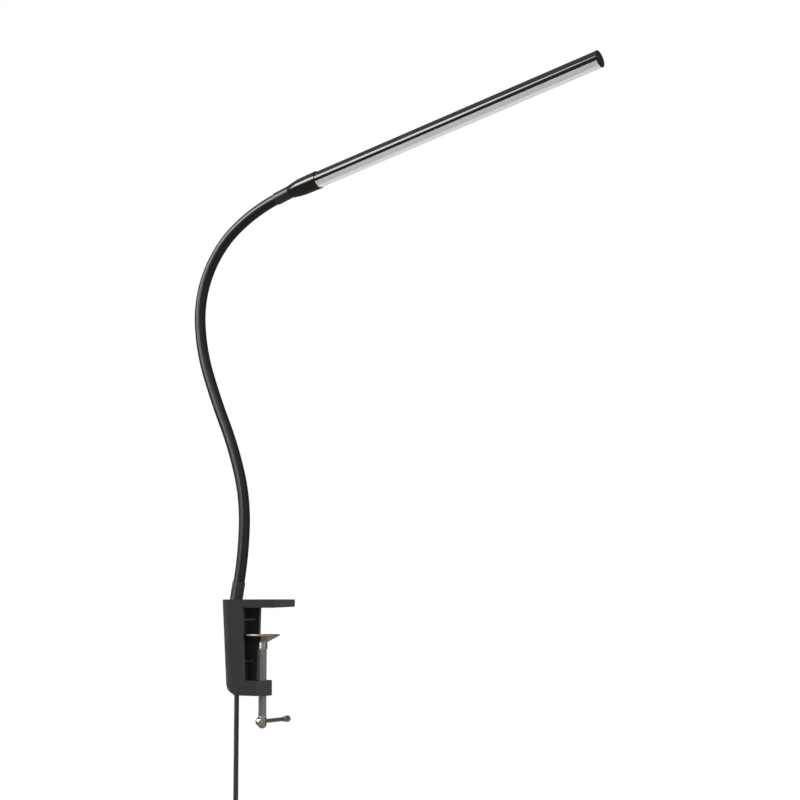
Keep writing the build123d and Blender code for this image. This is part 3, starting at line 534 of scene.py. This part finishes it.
def spindle_thread():
    """Threaded rod: a rounded plain end, then a right-hand rolled thread whose radius falls by a cosine
    of height over pitch less angle over a turn, fading at both ends, then the riveted spigot."""
    bend = np.linspace(0, pi / 2, SPINDLE_END_ROWS)
    start, end = THREAD_SPAN
    levels = np.linspace(start, end, int((end - start) / THREAD_PITCH * THREAD_ROWS_PER_TURN))
    fade = np.clip(np.minimum(levels - start, end - levels) / THREAD_RUN_OUT, 0, 1)[:, None]
    climb = 2 * pi * levels[:, None] / THREAD_PITCH
    wave = 0.5 - 0.5 * np.cos(climb - once_round(SPINDLE_COLUMNS))
    rod = THREAD_RADIUS - THREAD_DEPTH * fade * wave
    flat = SPINDLE_END_RADIUS - SPINDLE_END_ROUND
    foot = np.r_[0.0, flat + SPINDLE_END_ROUND * np.sin(bend), SPINDLE_END_RADIUS, THREAD_RADIUS]
    foot_z = np.r_[SPINDLE_END_Z, SPINDLE_END_Z + SPINDLE_END_ROUND * (1 - np.cos(bend)),
                   start - SPINDLE_END_STEP, start]
    top, top_z = np.array(RIVET).T
    spread = np.ones((1, SPINDLE_COLUMNS))
    radius = np.concatenate([foot[:, None] * spread, rod, top[:, None] * spread])
    height = np.r_[foot_z, levels, top_z]
    turned_piece("spindle_thread", (radius, height), "nickel", "spindle", "clamp_spindle", SPINDLE_COLUMNS)


def cup_dish():
    """Pressed cup: a cone of sheet, its rim rolled round a small circle."""
    roll = np.radians(np.linspace(CUP_CONE_DEG - 90, CUP_CONE_DEG + 90, CUP_RIM_ROWS))
    rim = np.array(CUP_RIM) + CUP_RIM_ROUND * np.c_[np.cos(roll), np.sin(roll)]
    radius, height = np.concatenate([CUP_OUTSIDE, rim, CUP_INSIDE]).T
    turned_piece("cup_dish", (radius[:, None], height), "nickel", "cup", "pressure_cup", CUP_COLUMNS,
                 closed_rows=True)


def surround():
    """White to the camera, an even glow for matt surfaces, and for glossy ones a room that is bright
    above and in front, softly lit on the right, dark behind but for a faint glow, and warm below."""
    world = bpy.data.worlds.new("surround")
    bpy.context.scene.world = world
    f = Finish(world)
    way = f.node("TexCoord", {}, {}, "Generated")
    flat_way = f.node("VectorMath", {"operation": "MULTIPLY"}, {0: way, 1: (1, 1, 0)}, "Vector")
    level_way = f.node("VectorMath", {"operation": "NORMALIZE"}, {0: flat_way}, "Vector")

    def glow(ray, direction, start, full):
        """How far a ray leans towards a direction, from 0 to 1."""
        return f.rise(f.along(ray, direction), start, full)

    above_front = glow(way, *ROOM_ABOVE_FRONT)
    room = f.mix(above_front * above_front, shade(ROOM_TONE), shade(ABOVE_FRONT_TONE, 0))
    room = f.mix(glow(way, *ROOM_BEHIND_RIGHT), room, shade(BEHIND_RIGHT_TONE, 0))
    room = f.mix(glow(level_way, *ROOM_RIGHT), room, shade(RIGHT_TONE, 0))
    room = f.mix(glow(way, *ROOM_BELOW), room, BELOW_COLOUR)
    glossy = f.node("LightPath", {}, {}, "Is Glossy Ray")
    camera = f.node("LightPath", {}, {}, "Is Camera Ray")
    through = f.node("LightPath", {}, {}, "Is Transmission Ray")
    shown = f.node("Math", {"operation": "MAXIMUM"}, {0: camera, 1: through})
    colour = f.mix(shown, f.mix(glossy, shade(MATT_TONE, 0), room), shade(1, 0))
    f.node("OutputWorld", {}, {"Surface": f.node("Background", {}, {"Color": colour, "Strength": 1.0})})


def softbox(name, aim, azimuth_deg, elevation_deg, distance, size, glow, beam_deg=180.0, mirrored=True,
            lighting=True):
    """Area light that faces a point from a direction; glow is its radiance along its axis, and a grid may
    narrow its beam. It may serve only as a card that glossy surfaces mirror, or only as a fill that they
    do not."""
    lamp = bpy.data.lights.new(name, "AREA")
    lamp.shape = "RECTANGLE"
    lamp.size, lamp.size_y = size
    lamp.spread = radians(beam_deg)
    lamp.energy = glow * pi * size[0] * size[1] * (1.0 - lamp.spread / 2 / tan(lamp.spread / 2))
    azimuth, elevation = radians(azimuth_deg), radians(elevation_deg)
    away = Vector((cos(azimuth) * cos(elevation), sin(azimuth) * cos(elevation), sin(elevation)))
    holder = bpy.data.objects.new(name, lamp)
    holder.location = Vector(aim) + away * distance
    holder.rotation_euler = (-away).to_track_quat("-Z", "Y").to_euler()
    holder.visible_camera = False
    holder.visible_glossy = mirrored
    holder.visible_diffuse = lighting
    place_in_scene(holder)


def floor():
    """Pale round floor below the lamp, a shade lighter and darker in wide clouds."""
    f = finish("pale_floor")
    cloud = f.noise(scale=1.5, detail=2.0)
    f.surface({"Base Color": f.mix(cloud, rgb(0.9, 0.9, 0.89), rgb(0.94, 0.94, 0.93)), "Roughness": 0.9})
    radius = np.array(FLOOR_RADII)[:, None]
    around = once_round(FLOOR_COLUMNS)
    x, y = radius * np.cos(around), radius * np.sin(around)
    mesh = grid_mesh("pale_floor", np.stack([x, y, np.full_like(x, FLOOR_Z)], axis=-1))
    mesh.materials.append(f.owner)
    plane = bpy.data.objects.new("pale_floor", mesh)
    plane.visible_glossy = False
    place_in_scene(plane)


set_camera()
dress_solids()
make_cord()
for bend in range(1, len(ARC_TURNS_DEG)):
    sleeve_piece(bend)
spindle_thread()
cup_dish()
surround()
for lamp in LAMPS:
    softbox(**lamp)
floor()

bpy.context.scene.view_settings.view_transform = "Standard"
